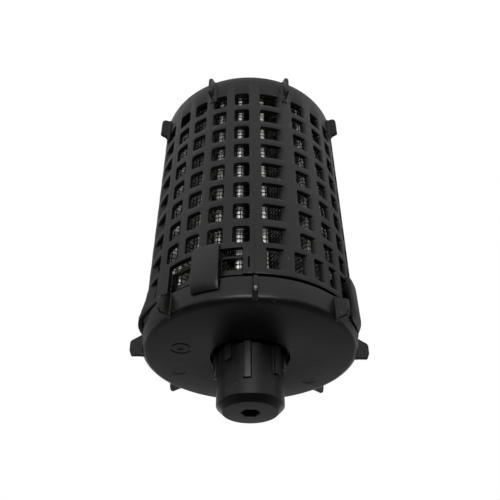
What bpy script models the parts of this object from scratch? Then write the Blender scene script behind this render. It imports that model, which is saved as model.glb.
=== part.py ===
# Cartridge filter: perforated moulded cage, clipped-on end cap and a pleated mesh element.
# Metres, +Z up. The part stands on the open end of its cage, with the hub of the end cap on top.
import math

import bmesh
import bpy
from mathutils import Matrix, Vector

MM = 0.001

# Moulded cage
CAGE_RADIUS = 40.0 * MM
CAGE_WALL = 2.0 * MM
FAR_BAND = 11.4 * MM            # plain wall below the first row of windows
ROW_COUNT = 8
ROW_PITCH = 10.5 * MM
WINDOW_HEIGHT = 7.3 * MM
WINDOW_PITCH = 9.0 * MM         # across the draw direction of a slide
WINDOW_WIDTH = 5.7 * MM
BELT_LAND = 2.1 * MM            # solid ring between the last row and the belt at the mouth
BELT_HEIGHT = 8.7 * MM
BELT_PITCH = 6.35 * MM
BELT_WIDTH = 4.25 * MM
MOUTH_RIM = 2.2 * MM
MOUTH_EASE = 2.2 * MM           # how far the mouth is eased outwards at two opposite places
MOUTH_EASE_ANGLE = -10.0
MOUTH_EASE_SPREAD = 24.0
SLIDE_ANGLE = 24.0              # draw direction of the wide slides; the narrow ones draw across it
NARROW_HALF_ANGLE = 26.45
MIN_LAND = 1.2 * MM             # least plastic left between a window and the parting line
FACET_STEP = 11.0               # widest facet of the cage's wall, in degrees

# Shoulder in the far end of the cage and the outlet plate that rests on it
SHOULDER_BOTTOM = 0.8 * MM
SHOULDER_DEPTH = 1.6 * MM       # how far it stands in from the wall
PLATE_RECESS = 3.0 * MM
PLATE_THICKNESS = 2.2 * MM
OUTLET_INSET = 6.4 * MM         # from the core's outer face to the bore
OUTLET_WALL = 2.2 * MM
OUTLET_HEIGHT = 9.8 * MM        # collar above the plate, inside the element
SEAL_GROOVE_DEPTH = 1.2 * MM
SEAL_HEIGHT = 2.9 * MM
SEAL_LIP = 0.6 * MM             # how far the seal stands into the bore

# Spring arms that hook over the end cap
ARM_SPAN = 14.0
ARM_OFFSET = -2.7               # from the slide's draw direction, in degrees
ARM_THICKNESS = 1.6 * MM
ARM_REACH = 5.6 * MM            # past the mouth of the cage
NARROW_NOTCH_HALF_ANGLE = 20.8
WIDE_NOTCH_HALF_ANGLE = 11.5
HOOK_DEPTH = 0.8 * MM
HOOK_HEIGHT = 2.2 * MM

# Guide fins
FIN_COUNT = 8
FIN_THICKNESS = 1.5 * MM
FAR_FIN_REACH = 3.8 * MM
FAR_FIN_LENGTH = 13.5 * MM
FAR_FIN_ANGLE = 22.5
CAP_FIN_REACH = 4.8 * MM

# End cap
CAP_GAP = 1.0 * MM              # shadow gap between the cage's mouth and the cap's band
CAP_INSET = 0.1 * MM            # the band is this much smaller than the cage
CAP_BAND = 9.3 * MM
CAP_EDGE_RADIUS = 2.4 * MM
CAP_WALL = 2.4 * MM
COLLAR_WALL = 1.55 * MM
COLLAR_OVERLAP = 1.8 * MM       # how far the collar reaches into the cage
FRAME_RAIL = 1.7 * MM
FRAME_POST = 2.4                # in degrees
HUB_RADIUS = 12.1 * MM
HUB_HEIGHT = 20.9 * MM
HUB_CHAMFER = 2.3 * MM
HUB_WALL = 2.6 * MM
GROOVE_RADIUS = 14.8 * MM       # groove in the disc round the hub
GROOVE_DEPTH = 3.0 * MM
HUB_RIB_WIDTH = 2.7 * MM
HUB_RIB_REACH = 1.3 * MM
HUB_RIBS = (                    # direction in degrees, height above the disc
    (-85.4, 13.4 * MM), (-53.2, 5.5 * MM), (-137.4, 10.5 * MM), (180.0, 4.6 * MM),
    (0.0, 7.8 * MM), (45.0, 5.5 * MM), (90.0, 13.4 * MM), (135.0, 5.5 * MM),
)
HEX_ACROSS_FLATS = 6.0 * MM
HEX_DEPTH = 8.5 * MM
HEX_WALL = 2.4 * MM
PRESS_RING_RADIUS = 26.4 * MM
PRESS_RING_WALL = 2.4 * MM

# Pleated element
PLEAT_COUNT = 27
PLEAT_PHASE = -85.2
SHEET = 0.3 * MM
SHEET_STEP = 0.55 * MM          # between the middles of neighbouring layers
CREST_RADIUS = 1.25 * MM
VALLEY_RADIUS = 1.15 * MM
CORE_SHARE = 0.5959             # radius of the core for each radius of the element
CORE_WALL = 0.8 * MM
CORE_SLOT_COLUMNS = 8
CORE_SLOT_ROWS = 5
CORE_SLOT_WIDTH = 7.0 * MM
CORE_SLOT_HEIGHT = 11.0 * MM
DISC_SHEET = 0.8 * MM
BOND_HEIGHT = 2.6 * MM
GASKET_HEIGHT = 1.5 * MM
GASKET_WIDTH = 6.0 * MM
CLIP_SHEET = 0.4 * MM
CLIP_DEPTH = 5.0 * MM

# Fits
CLEARANCE = 0.3 * MM            # between pieces that meet
SINK = 0.6 * MM                 # how far a fused feature reaches into the wall that carries it
ROUND_STEPS = 48                # facets round the end cap
RING_STEPS = 36                 # facets round a ring inside the cage

# Heights worked out from the sizes above
BELT_BOTTOM = FAR_BAND + (ROW_COUNT - 1) * ROW_PITCH + WINDOW_HEIGHT + BELT_LAND
BELT_TOP = BELT_BOTTOM + BELT_HEIGHT
CAGE_LENGTH = BELT_TOP + MOUTH_RIM
CAP_BOTTOM = CAGE_LENGTH + CAP_GAP
CAP_TOP = CAP_BOTTOM + CAP_BAND
HUB_TOP = CAP_TOP + HUB_HEIGHT
PLATE_TOP = PLATE_RECESS + PLATE_THICKNESS

# Radii worked out from the sizes above
CAGE_INNER = CAGE_RADIUS - CAGE_WALL
FACET_DROP = CAGE_INNER * (1 - math.cos(math.radians(FACET_STEP / 2)))
BAND_RADIUS = CAGE_RADIUS - CAP_INSET
COLLAR_RADIUS = CAGE_INNER - FACET_DROP - CLEARANCE
COLLAR_INNER = COLLAR_RADIUS - COLLAR_WALL
ELEMENT_RADIUS = COLLAR_INNER - CLEARANCE - 0.1 * MM
CORE_RADIUS = ELEMENT_RADIUS * CORE_SHARE
CORE_INNER = CORE_RADIUS - CORE_WALL
LIP_RADIUS = CORE_INNER - CLEARANCE
OUTLET_BORE_RADIUS = CORE_RADIUS - OUTLET_INSET
SLIDES = (
    (SLIDE_ANGLE, 90.0 - NARROW_HALF_ANGLE, WIDE_NOTCH_HALF_ANGLE),
    (SLIDE_ANGLE + 90.0, NARROW_HALF_ANGLE, NARROW_NOTCH_HALF_ANGLE),
    (SLIDE_ANGLE + 180.0, 90.0 - NARROW_HALF_ANGLE, WIDE_NOTCH_HALF_ANGLE),
    (SLIDE_ANGLE + 270.0, NARROW_HALF_ANGLE, NARROW_NOTCH_HALF_ANGLE),
)

# Stack of the element, from the outlet plate upwards
GASKET_BOTTOM = PLATE_TOP + CLEARANCE
DISC_BOTTOM = GASKET_BOTTOM + GASKET_HEIGHT + CLEARANCE
BOND_BOTTOM = DISC_BOTTOM + DISC_SHEET + CLEARANCE
PLEAT_BOTTOM = BOND_BOTTOM + BOND_HEIGHT + CLEARANCE
PLEAT_TOP = CAGE_LENGTH - COLLAR_OVERLAP - CLEARANCE
TOP_BOND_BOTTOM = PLEAT_TOP + CLEARANCE
TOP_DISC_BOTTOM = TOP_BOND_BOTTOM + BOND_HEIGHT + CLEARANCE
TOP_GASKET_BOTTOM = TOP_DISC_BOTTOM + DISC_SHEET + CLEARANCE
PRESS_RING_BOTTOM = TOP_GASKET_BOTTOM + GASKET_HEIGHT + CLEARANCE


# Scene and materials
def clear_scene():
    for obj in list(bpy.data.objects):
        bpy.data.objects.remove(obj)


def new_collection(name):
    collection = bpy.data.collections.new(name)
    bpy.context.scene.collection.children.link(collection)
    return collection


def new_material(name, color, roughness, metallic=0.0):
    material = bpy.data.materials.new(name)
    material.use_nodes = True
    shader = material.node_tree.nodes["Principled BSDF"]
    shader.inputs["Base Color"].default_value = (*color, 1.0)
    shader.inputs["Roughness"].default_value = roughness
    shader.inputs["Metallic"].default_value = metallic
    return material


clear_scene()
PARTS = new_collection("transmission_filter")
CUTTERS = new_collection("cutters")
NYLON = new_material("glass_filled_nylon", (0.012, 0.012, 0.012), 0.45)
STEEL_MESH = new_material("steel_wire_mesh", (0.55, 0.55, 0.53), 0.35, 1.0)
CLOTH = new_material("fine_wire_cloth", (0.75, 0.74, 0.70), 0.4, 1.0)
STEEL = new_material("tin_plated_steel", (0.60, 0.60, 0.58), 0.4, 1.0)
ADHESIVE = new_material("epoxy_adhesive", (0.10, 0.09, 0.07), 0.5)
RUBBER = new_material("nitrile_rubber", (0.02, 0.02, 0.02), 0.7)


# Objects from meshes
def add_object(name, mesh, collection, material=None):
    obj = bpy.data.objects.new(name, mesh)
    collection.objects.link(obj)
    if material:
        mesh.materials.append(material)
    return obj


def add_part(name, bm, material):
    mesh = bpy.data.meshes.new(name)
    bm.to_mesh(mesh)
    bm.free()
    mesh.shade_smooth()
    mesh.set_sharp_from_angle(angle=math.radians(30))
    return add_object(name, mesh, PARTS, material)


def add_tool(name, bm):
    mesh = bpy.data.meshes.new(name)
    bm.to_mesh(mesh)
    bm.free()
    obj = add_object(name, mesh, CUTTERS)
    obj.hide_render = True
    obj.display_type = "WIRE"
    return obj


def combine(target, tool, operation):
    modifier = target.modifiers.new(tool.name, "BOOLEAN")
    modifier.object = tool
    modifier.operation = operation
    modifier.solver = "EXACT"


# Points in polar coordinates, angles in degrees from +X
def polar(radius, angle, height=0.0):
    turn = math.radians(angle)
    return Vector((radius * math.cos(turn), radius * math.sin(turn), height))


# Solid turned from an (r, z) outline that runs down its outer side
def turned(name, outline, material, steps=RING_STEPS):
    mesh = bpy.data.meshes.new(name)
    points = [(r, 0.0, z) for r, z in outline]
    on_axis = outline[0][0] == 0.0
    edges = [(i, i + 1) for i in range(len(points) - 1)]
    if not on_axis:
        edges.append((len(points) - 1, 0))
    mesh.from_pydata(points, edges, [])
    obj = add_object(name, mesh, PARTS, material)
    screw = obj.modifiers.new("turn", "SCREW")
    screw.angle = math.tau
    screw.steps = steps
    screw.render_steps = steps
    screw.use_merge_vertices = True
    screw.merge_threshold = 0.01 * MM
    screw.use_smooth_shade = True
    return obj


# Block swept about the axis from an (r, z) outline
def sweep_outline(bm, outline, start, end, steps):
    turn = Matrix.Rotation(math.radians(start), 4, "Z")
    verts = [bm.verts.new(turn @ Vector((r, 0.0, z))) for r, z in outline]
    face = bm.faces.new(verts)
    bmesh.ops.spin(
        bm, geom=[face, *face.edges, *face.verts], cent=(0, 0, 0), axis=(0, 0, 1),
        angle=math.radians(end - start), steps=steps, use_duplicate=False,
    )


def box_outline(r_low, r_high, z_low, z_high):
    return ((r_low, z_low), (r_high, z_low), (r_high, z_high), (r_low, z_high))


# Ring about the axis from an (r, z) outline
def closed_ring(outline):
    bm = bmesh.new()
    columns = []
    for step in range(ROUND_STEPS):
        turn = Matrix.Rotation(math.tau * step / ROUND_STEPS, 4, "Z")
        columns.append([bm.verts.new(turn @ Vector((r, 0.0, z))) for r, z in outline])
    for column, following in zip(columns, columns[1:] + columns[:1]):
        for i in range(len(outline)):
            j = (i + 1) % len(outline)
            bm.faces.new((column[i], following[i], following[j], column[j]))
    bmesh.ops.recalc_face_normals(bm, faces=bm.faces)
    return bm


def swept_blocks(blocks):
    bm = bmesh.new()
    for outline, start, end, steps in blocks:
        sweep_outline(bm, outline, start, end, steps)
    bmesh.ops.recalc_face_normals(bm, faces=bm.faces)
    return bm


# Thin upright plates, one for each angle, from an (r, z) outline
def radial_plates(plates, thickness):
    bm = bmesh.new()
    for outline, angle in plates:
        turn = Matrix.Rotation(math.radians(angle), 4, "Z")
        face = bm.faces.new([bm.verts.new(turn @ Vector((r, thickness / 2, z))) for r, z in outline])
        grown = bmesh.ops.extrude_face_region(bm, geom=[face], use_keep_orig=True)
        moved = [item for item in grown["geom"] if isinstance(item, bmesh.types.BMVert)]
        bmesh.ops.translate(bm, verts=moved, vec=turn @ Vector((0.0, -thickness, 0.0)))
    bmesh.ops.recalc_face_normals(bm, faces=bm.faces)
    return bm


# Lines of the cage's wall: each has its angle on the outer and on the inner face.
# A slide draws straight out, so a window's side keeps its distance from the slide's middle
# through the wall, and its angle is larger on the inner face.
def window_side(slide, half_angle, distance):
    limit = half_angle - math.degrees(MIN_LAND / 2 / CAGE_INNER)
    across = max(-1.0, min(1.0, distance / CAGE_RADIUS))
    across_inner = max(-1.0, min(1.0, distance / CAGE_INNER))
    outer = math.degrees(math.asin(across))
    inner = math.degrees(math.asin(across_inner))
    inner = max(-limit, min(limit, inner))
    return slide + outer, slide + inner


def row_windows(half_angle):
    room = CAGE_RADIUS * math.sin(math.radians(half_angle)) - MIN_LAND
    sides = []
    middle = WINDOW_PITCH / 2
    while middle + WINDOW_WIDTH / 2 <= room:
        sides += [(middle - WINDOW_WIDTH / 2, middle + WINDOW_WIDTH / 2)]
        sides += [(-middle - WINDOW_WIDTH / 2, -middle + WINDOW_WIDTH / 2)]
        middle += WINDOW_PITCH
    return sides


def belt_windows(half_angle, notch_half_angle):
    room = CAGE_RADIUS * math.sin(math.radians(half_angle)) - MIN_LAND
    taken = CAGE_RADIUS * math.sin(math.radians(notch_half_angle)) + MIN_LAND
    sides = []
    middle = BELT_PITCH
    while middle + BELT_WIDTH / 2 <= room:
        if middle - BELT_WIDTH / 2 >= taken:
            sides += [(middle - BELT_WIDTH / 2, middle + BELT_WIDTH / 2)]
            sides += [(-middle - BELT_WIDTH / 2, -middle + BELT_WIDTH / 2)]
        middle += BELT_PITCH
    return sides


def wall_lines(windows_of):
    lines = []
    openings = []
    for slide, half_angle, notch in SLIDES:
        lines.append((slide + half_angle, slide + half_angle))
        for kind, low, high in windows_of(half_angle, notch):
            sides = [window_side(slide, half_angle, low), window_side(slide, half_angle, high)]
            lines += sides
            openings.append((kind, sides[0][0], sides[1][0]))
    lines.sort()
    filled = []
    for line, following in zip(lines, lines[1:] + [(lines[0][0] + 360.0, lines[0][1] + 360.0)]):
        parts = max(1, math.ceil((following[0] - line[0]) / FACET_STEP))
        for step in range(parts):
            share = step / parts
            filled.append(tuple(a + (b - a) * share for a, b in zip(line, following)))
    return filled, openings


def body_windows(half_angle, notch):
    return [("row", low, high) for low, high in row_windows(half_angle)]


def mouth_windows(half_angle, notch):
    edge = CAGE_RADIUS * math.sin(math.radians(notch))
    found = [("belt", low, high) for low, high in belt_windows(half_angle, notch)]
    return found + [("notch", -edge, edge)]


# How far the wall is eased outwards near its mouth
def mouth_ease(angle, height):
    rise = max(0.0, min(1.0, (height - BELT_BOTTOM + BELT_LAND) / (BELT_HEIGHT + BELT_LAND)))
    turn = (angle - MOUTH_EASE_ANGLE + 90.0) % 180.0 - 90.0
    if abs(turn) >= MOUTH_EASE_SPREAD:
        return 0.0
    return MOUTH_EASE * rise * math.cos(math.radians(90.0 * turn / MOUTH_EASE_SPREAD)) ** 2


# Grid of the wall's outer face between the given lines and heights, with its windows left out
def wall_grid(bm, layers, lines, heights, openings, height_ranges):
    columns = len(lines)
    grid = bmesh.ops.create_grid(bm, x_segments=columns, y_segments=len(heights) - 1, size=1.0)
    grid_faces = {face for vert in grid["verts"] for face in vert.link_faces}
    for order, vert in enumerate(grid["verts"]):
        column, row = order % (columns + 1), order // (columns + 1)
        outer, inner = lines[column % columns]
        vert[layers[0]] = outer
        vert[layers[1]] = inner
        vert.co = polar(CAGE_RADIUS + mouth_ease(outer, heights[row]), outer, heights[row])
    doomed = []
    for face in grid_faces:
        angles = sorted(vert[layers[0]] for vert in face.verts)
        low, high = angles[0], angles[-1]
        if high - low > 180.0:
            low, high = high, low + 360.0
        middle = (low + high) / 2
        height = sum(vert.co.z for vert in face.verts) / 4
        for kind, start, end in openings:
            bottom, top = height_ranges[kind](height)
            if start < middle < end or start < middle - 360.0 < end or start < middle + 360.0 < end:
                if bottom < height < top:
                    doomed.append(face)
                    break
    bmesh.ops.delete(bm, geom=doomed, context="FACES_ONLY")


def row_range(height):
    row = math.floor((height - FAR_BAND) / ROW_PITCH)
    bottom = FAR_BAND + row * ROW_PITCH
    return (bottom, bottom + WINDOW_HEIGHT) if 0 <= row < ROW_COUNT else (0.0, 0.0)


def belt_range(height):
    return BELT_BOTTOM, BELT_TOP


def notch_range(height):
    return BELT_BOTTOM, CAGE_LENGTH


# Ring of triangles between two rings of points at different angles
def zip_rings(bm, lower, upper):
    lower_turns = lower + [lower[0]]
    upper_turns = upper + [upper[0]]
    i = j = 0
    while i < len(lower) or j < len(upper):
        a, b = lower_turns[i], upper_turns[j]
        step_lower = j >= len(upper)
        if i < len(lower) and not step_lower:
            next_lower = ring_angle(lower_turns[i + 1], lower[0], i + 1 == len(lower))
            next_upper = ring_angle(upper_turns[j + 1], upper[0], j + 1 == len(upper))
            step_lower = next_lower <= next_upper
        if step_lower:
            bm.faces.new((a, lower_turns[i + 1], b))
            i += 1
        else:
            bm.faces.new((a, upper_turns[j + 1], b))
            j += 1


def ring_angle(vert, first, is_last):
    start = math.degrees(math.atan2(first.co.y, first.co.x))
    angle = math.degrees(math.atan2(vert.co.y, vert.co.x))
    return 360.0 if is_last else (angle - start) % 360.0


def ring_at(bm, height):
    ring = [vert for vert in bm.verts if abs(vert.co.z - height) < 0.001 * MM]
    return sorted(ring, key=lambda vert: math.atan2(vert.co.y, vert.co.x))


def cage_wall():
    bm = bmesh.new()
    layers = (bm.verts.layers.float.new("outer_angle"), bm.verts.layers.float.new("inner_angle"))
    row_heights = [0.0]
    for row in range(ROW_COUNT):
        bottom = FAR_BAND + row * ROW_PITCH
        row_heights += [bottom, bottom + WINDOW_HEIGHT]
    lines, openings = wall_lines(body_windows)
    wall_grid(bm, layers, lines, row_heights, openings, {"row": row_range})
    lines, openings = wall_lines(mouth_windows)
    ranges = {"belt": belt_range, "notch": notch_range}
    wall_grid(bm, layers, lines, [BELT_BOTTOM, BELT_TOP, CAGE_LENGTH], openings, ranges)
    bmesh.ops.remove_doubles(bm, verts=bm.verts, dist=0.001 * MM)
    zip_rings(bm, ring_at(bm, row_heights[-1]), ring_at(bm, BELT_BOTTOM))
    loose = [vert for vert in bm.verts if not vert.link_faces]
    bmesh.ops.delete(bm, geom=loose, context="VERTS")
    skin = bmesh.ops.extrude_face_region(bm, geom=bm.faces[:], use_keep_orig=True)
    for item in skin["geom"]:
        if isinstance(item, bmesh.types.BMVert):
            radius = Vector((item.co.x, item.co.y)).length - CAGE_WALL
            item.co = polar(radius, item[layers[1]], item.co.z)
    bmesh.ops.recalc_face_normals(bm, faces=bm.faces)
    return bm


def fin_angles(phase):
    return [phase + 360.0 * i / FIN_COUNT for i in range(FIN_COUNT)]


# Spring arm: leaves the wall above the belt, stands proud of the cap's band and hooks into its pocket
def arm_outline():
    inner = BAND_RADIUS + CLEARANCE
    outer = inner + ARM_THICKNESS
    root = BELT_BOTTOM - BELT_LAND
    tip = CAGE_LENGTH + ARM_REACH
    hook_bottom = CAP_BOTTOM + HOOK_HEIGHT / 2
    return (
        (CAGE_INNER + SINK / 2, root + BELT_LAND * 0.15), (CAGE_RADIUS - SINK, root + BELT_LAND * 0.15),
        (outer - ARM_THICKNESS / 2, root + BELT_LAND * 0.35), (outer, root + BELT_LAND * 2),
        (outer + HOOK_DEPTH / 2, tip - HOOK_HEIGHT * 1.6), (inner + ARM_THICKNESS / 3, tip), (inner, tip),
        (inner, hook_bottom + HOOK_HEIGHT), (inner - HOOK_DEPTH, hook_bottom + HOOK_HEIGHT * 0.8),
        (inner - HOOK_DEPTH, hook_bottom), (inner, hook_bottom), (inner, CAGE_LENGTH - MOUTH_RIM),
        (CAGE_INNER + SINK / 2, BELT_BOTTOM + BELT_LAND),
    )


def arm_span(slide):
    return slide + ARM_OFFSET - ARM_SPAN / 2, slide + ARM_OFFSET + ARM_SPAN / 2


def make_cage():
    cage = add_part("outer_cage", cage_wall(), NYLON)
    shoulder = box_outline(
        CAGE_INNER - SHOULDER_DEPTH, CAGE_INNER + SINK, SHOULDER_BOTTOM, PLATE_RECESS - CLEARANCE)
    combine(cage, add_tool("shoulder", closed_ring(shoulder)), "UNION")
    root = CAGE_RADIUS - SINK
    reach = CAGE_RADIUS + FAR_FIN_REACH
    fin = (
        (root, 0.2 * MM), (CAGE_RADIUS + FAR_FIN_REACH * 0.6, 0.6 * MM), (reach, 2.2 * MM),
        (reach - 0.2 * MM, FAR_FIN_LENGTH * 0.74), (CAGE_RADIUS + FAR_FIN_REACH * 0.7, FAR_FIN_LENGTH * 0.82),
        (CAGE_RADIUS + 0.3 * MM, FAR_FIN_LENGTH * 0.93), (root, FAR_FIN_LENGTH),
    )
    fins = [(fin, angle) for angle in fin_angles(FAR_FIN_ANGLE)]
    combine(cage, add_tool("far_fins", radial_plates(fins, FIN_THICKNESS)), "UNION")
    arms = [(arm_outline(), *arm_span(slide), 2) for slide, half_angle, notch in SLIDES]
    combine(cage, add_tool("spring_arms", swept_blocks(arms)), "UNION")
    return cage


# Plate with the outlet collar, dropped into the cage and carried by its shoulder
def make_outlet_plate():
    rim = CAGE_INNER - FACET_DROP - CLEARANCE
    bore = OUTLET_BORE_RADIUS
    collar = bore + OUTLET_WALL
    groove = bore + SEAL_GROOVE_DEPTH
    groove_bottom = PLATE_TOP + CLEARANCE
    groove_top = groove_bottom + SEAL_HEIGHT + 2 * CLEARANCE
    crown = PLATE_TOP + OUTLET_HEIGHT
    turned("outlet_plate", (
        (collar, crown), (collar, PLATE_TOP), (rim, PLATE_TOP), (rim, PLATE_RECESS), (bore, PLATE_RECESS),
        (bore, groove_bottom), (groove, groove_bottom), (groove, groove_top), (bore, groove_top), (bore, crown),
    ), NYLON)


# End cap
def rounded_edge(radius, top, edge, steps=4):
    centre_r, centre_z = radius - edge, top - edge
    turns = [math.radians(90.0 * (steps - i) / steps) for i in range(steps + 1)]
    return [(centre_r + edge * math.cos(turn), centre_z + edge * math.sin(turn)) for turn in turns]


def make_end_cap():
    boss = HEX_ACROSS_FLATS / math.sqrt(3) + HEX_WALL
    under = CAP_TOP - CAP_WALL
    cavity = HUB_RADIUS - HUB_WALL
    press_inner = PRESS_RING_RADIUS - PRESS_RING_WALL
    groove_outer = GROOVE_RADIUS + CAP_WALL
    groove_under = CAP_TOP - GROOVE_DEPTH - CAP_WALL
    collar_bottom = CAGE_LENGTH - COLLAR_OVERLAP
    cap = turned("end_cap", (
        (0.0, HUB_TOP), (HUB_RADIUS - HUB_CHAMFER, HUB_TOP), (HUB_RADIUS, HUB_TOP - HUB_CHAMFER),
        (HUB_RADIUS, CAP_TOP - GROOVE_DEPTH), (GROOVE_RADIUS, CAP_TOP - GROOVE_DEPTH),
        (GROOVE_RADIUS, CAP_TOP), *rounded_edge(BAND_RADIUS, CAP_TOP, CAP_EDGE_RADIUS),
        (BAND_RADIUS, CAP_BOTTOM), (COLLAR_RADIUS, CAP_BOTTOM), (COLLAR_RADIUS, collar_bottom),
        (COLLAR_INNER, collar_bottom), (COLLAR_INNER, under), (PRESS_RING_RADIUS, under),
        (PRESS_RING_RADIUS, PRESS_RING_BOTTOM), (press_inner, PRESS_RING_BOTTOM), (press_inner, under),
        (groove_outer, under), (groove_outer, groove_under), (cavity, groove_under),
        (cavity, HUB_TOP - HUB_WALL), (boss, HUB_TOP - HUB_WALL),
        (boss, HUB_TOP - HEX_DEPTH - HEX_WALL), (0.0, HUB_TOP - HEX_DEPTH - HEX_WALL),
    ), NYLON, ROUND_STEPS)
    root = BAND_RADIUS - SINK
    reach = BAND_RADIUS + CAP_FIN_REACH
    slope = CAP_BAND * 0.4
    fin = (
        (root, CAP_BOTTOM + 0.1 * MM), (BAND_RADIUS, CAP_BOTTOM + 0.1 * MM), (reach, CAP_BOTTOM + slope),
        (reach - 0.1 * MM, CAP_TOP - CAP_EDGE_RADIUS), (reach - 0.9 * MM, CAP_TOP - CAP_EDGE_RADIUS / 6),
        (root - CAP_EDGE_RADIUS, CAP_TOP - CAP_EDGE_RADIUS / 6), (root - CAP_EDGE_RADIUS, CAP_TOP - CAP_WALL / 2),
        (root, CAP_TOP - CAP_WALL),
    )
    fins = [(fin, angle) for angle in fin_angles(SLIDE_ANGLE + 90.0 - NARROW_HALF_ANGLE)]
    combine(cap, add_tool("cap_fins", radial_plates(fins, FIN_THICKNESS)), "UNION")
    ribs = []
    for angle, height in HUB_RIBS:
        outer = HUB_RADIUS + HUB_RIB_REACH
        bottom = CAP_TOP - GROOVE_DEPTH - SINK
        ribs.append((box_outline(HUB_RADIUS - SINK, outer, bottom, CAP_TOP + height), angle))
    combine(cap, add_tool("hub_ribs", radial_plates(ribs, HUB_RIB_WIDTH)), "UNION")
    frames, windows, pockets = [], [], []
    frame_bottom = BELT_BOTTOM + BELT_LAND + 2 * CLEARANCE
    for slide, half_angle, notch in SLIDES:
        arm_start, arm_end = arm_span(slide)
        start, end = slide - notch - FRAME_POST, slide + notch + FRAME_POST
        outline = box_outline(COLLAR_INNER, COLLAR_RADIUS, frame_bottom, collar_bottom + SINK)
        frames.append((outline, start, end, max(2, round((end - start) / FACET_STEP))))
        window = box_outline(COLLAR_INNER - SINK, COLLAR_RADIUS + SINK, frame_bottom + FRAME_RAIL, collar_bottom)
        for low, high in ((start + FRAME_POST, arm_start), (arm_start + FRAME_POST, arm_end - FRAME_POST),
                          (arm_end, end - FRAME_POST)):
            if high - low > FRAME_POST:
                windows.append((window, low, high, 2))
        pocket = box_outline(
            BAND_RADIUS + CLEARANCE - HOOK_DEPTH - CLEARANCE, BAND_RADIUS + SINK,
            CAP_BOTTOM + HOOK_HEIGHT / 2 - CLEARANCE, CAP_BOTTOM + HOOK_HEIGHT * 1.5 + CLEARANCE,
        )
        margin = math.degrees(CLEARANCE / BAND_RADIUS)
        pockets.append((pocket, arm_start - margin, arm_end + margin, 2))
    combine(cap, add_tool("window_frames", swept_blocks(frames)), "UNION")
    combine(cap, add_tool("frame_windows", swept_blocks(windows)), "DIFFERENCE")
    combine(cap, add_tool("hook_pockets", swept_blocks(pockets)), "DIFFERENCE")
    bm = bmesh.new()
    middle = Matrix.Translation((0.0, 0.0, HUB_TOP - HEX_DEPTH / 2 + SINK / 2))
    middle @= Matrix.Rotation(math.radians(30.0), 4, "Z")
    corner = HEX_ACROSS_FLATS / math.sqrt(3)
    bmesh.ops.create_cone(
        bm, cap_ends=True, segments=6, radius1=corner, radius2=corner, depth=HEX_DEPTH + SINK, matrix=middle,
    )
    combine(cap, add_tool("hex_socket", bm), "DIFFERENCE")
    return cap


# Pleated layers: arcs at the crests and valleys, joined by their common tangents
def pleat_path(offset, crest_steps, valley_steps):
    margin = SHEET_STEP + SHEET / 2
    crest_centre = ELEMENT_RADIUS - margin - CREST_RADIUS
    valley_centre = CORE_RADIUS + CLEARANCE + margin + VALLEY_RADIUS
    half = 180.0 / PLEAT_COUNT
    away = polar(valley_centre, half) - polar(crest_centre, 0.0)
    lean = math.acos((CREST_RADIUS + VALLEY_RADIUS) / away.length)
    facing = math.degrees(math.atan2(away.y, away.x) - lean)
    points = []
    for pleat in range(PLEAT_COUNT):
        axis = PLEAT_PHASE + 2 * half * pleat
        for step in range(crest_steps + 1):
            turn = axis - facing + 2 * facing * step / crest_steps
            points.append(polar(crest_centre, axis) + polar(CREST_RADIUS + offset, turn))
        for step in range(valley_steps + 1):
            turn = axis + half + 180.0 - (facing - half) * (2 * step / valley_steps - 1)
            points.append(polar(valley_centre, axis + half) + polar(VALLEY_RADIUS - offset, turn))
    return points


def make_pleats(name, layer, material, crest_steps, valley_steps):
    bm = bmesh.new()
    path = pleat_path(layer * SHEET_STEP, crest_steps, valley_steps)
    verts = [bm.verts.new(point + Vector((0.0, 0.0, PLEAT_BOTTOM))) for point in path]
    edges = [bm.edges.new(pair) for pair in zip(verts, verts[1:] + verts[:1])]
    grown = bmesh.ops.extrude_edge_only(bm, edges=edges)
    top = [item for item in grown["geom"] if isinstance(item, bmesh.types.BMVert)]
    bmesh.ops.translate(bm, verts=top, vec=(0.0, 0.0, PLEAT_TOP - PLEAT_BOTTOM))
    bmesh.ops.recalc_face_normals(bm, faces=bm.faces)
    pleats = add_part(name, bm, material)
    solidify = pleats.modifiers.new("sheet", "SOLIDIFY")
    solidify.thickness = SHEET
    solidify.offset = 0.0
    solidify.use_even_offset = True
    return pleats


def make_seam_clip():
    angle = PLEAT_PHASE + 360.0 * (PLEAT_COUNT // 2) / PLEAT_COUNT
    margin = SHEET_STEP + SHEET / 2
    centre = ELEMENT_RADIUS - margin - CREST_RADIUS
    radius = CREST_RADIUS + margin + CLEARANCE + CLIP_SHEET / 2
    outline = [polar(radius, turn) for turn in (-90.0, -45.0, 0.0, 45.0, 90.0)]
    leg = Vector((-CLIP_DEPTH / 2, 0.0, 0.0))
    outline = [outline[0] + leg, *outline, outline[-1] + leg]
    turn = Matrix.Rotation(math.radians(angle), 4, "Z")
    bm = bmesh.new()
    verts = [bm.verts.new(turn @ (point + Vector((centre, 0.0, PLEAT_BOTTOM)))) for point in outline]
    edges = [bm.edges.new(pair) for pair in zip(verts, verts[1:])]
    grown = bmesh.ops.extrude_edge_only(bm, edges=edges)
    top = [item for item in grown["geom"] if isinstance(item, bmesh.types.BMVert)]
    bmesh.ops.translate(bm, verts=top, vec=(0.0, 0.0, PLEAT_TOP - PLEAT_BOTTOM))
    clip = add_part("seam_clip", bm, STEEL)
    solidify = clip.modifiers.new("sheet", "SOLIDIFY")
    solidify.thickness = CLIP_SHEET
    solidify.offset = 0.0
    solidify.use_even_offset = True
    return clip


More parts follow.
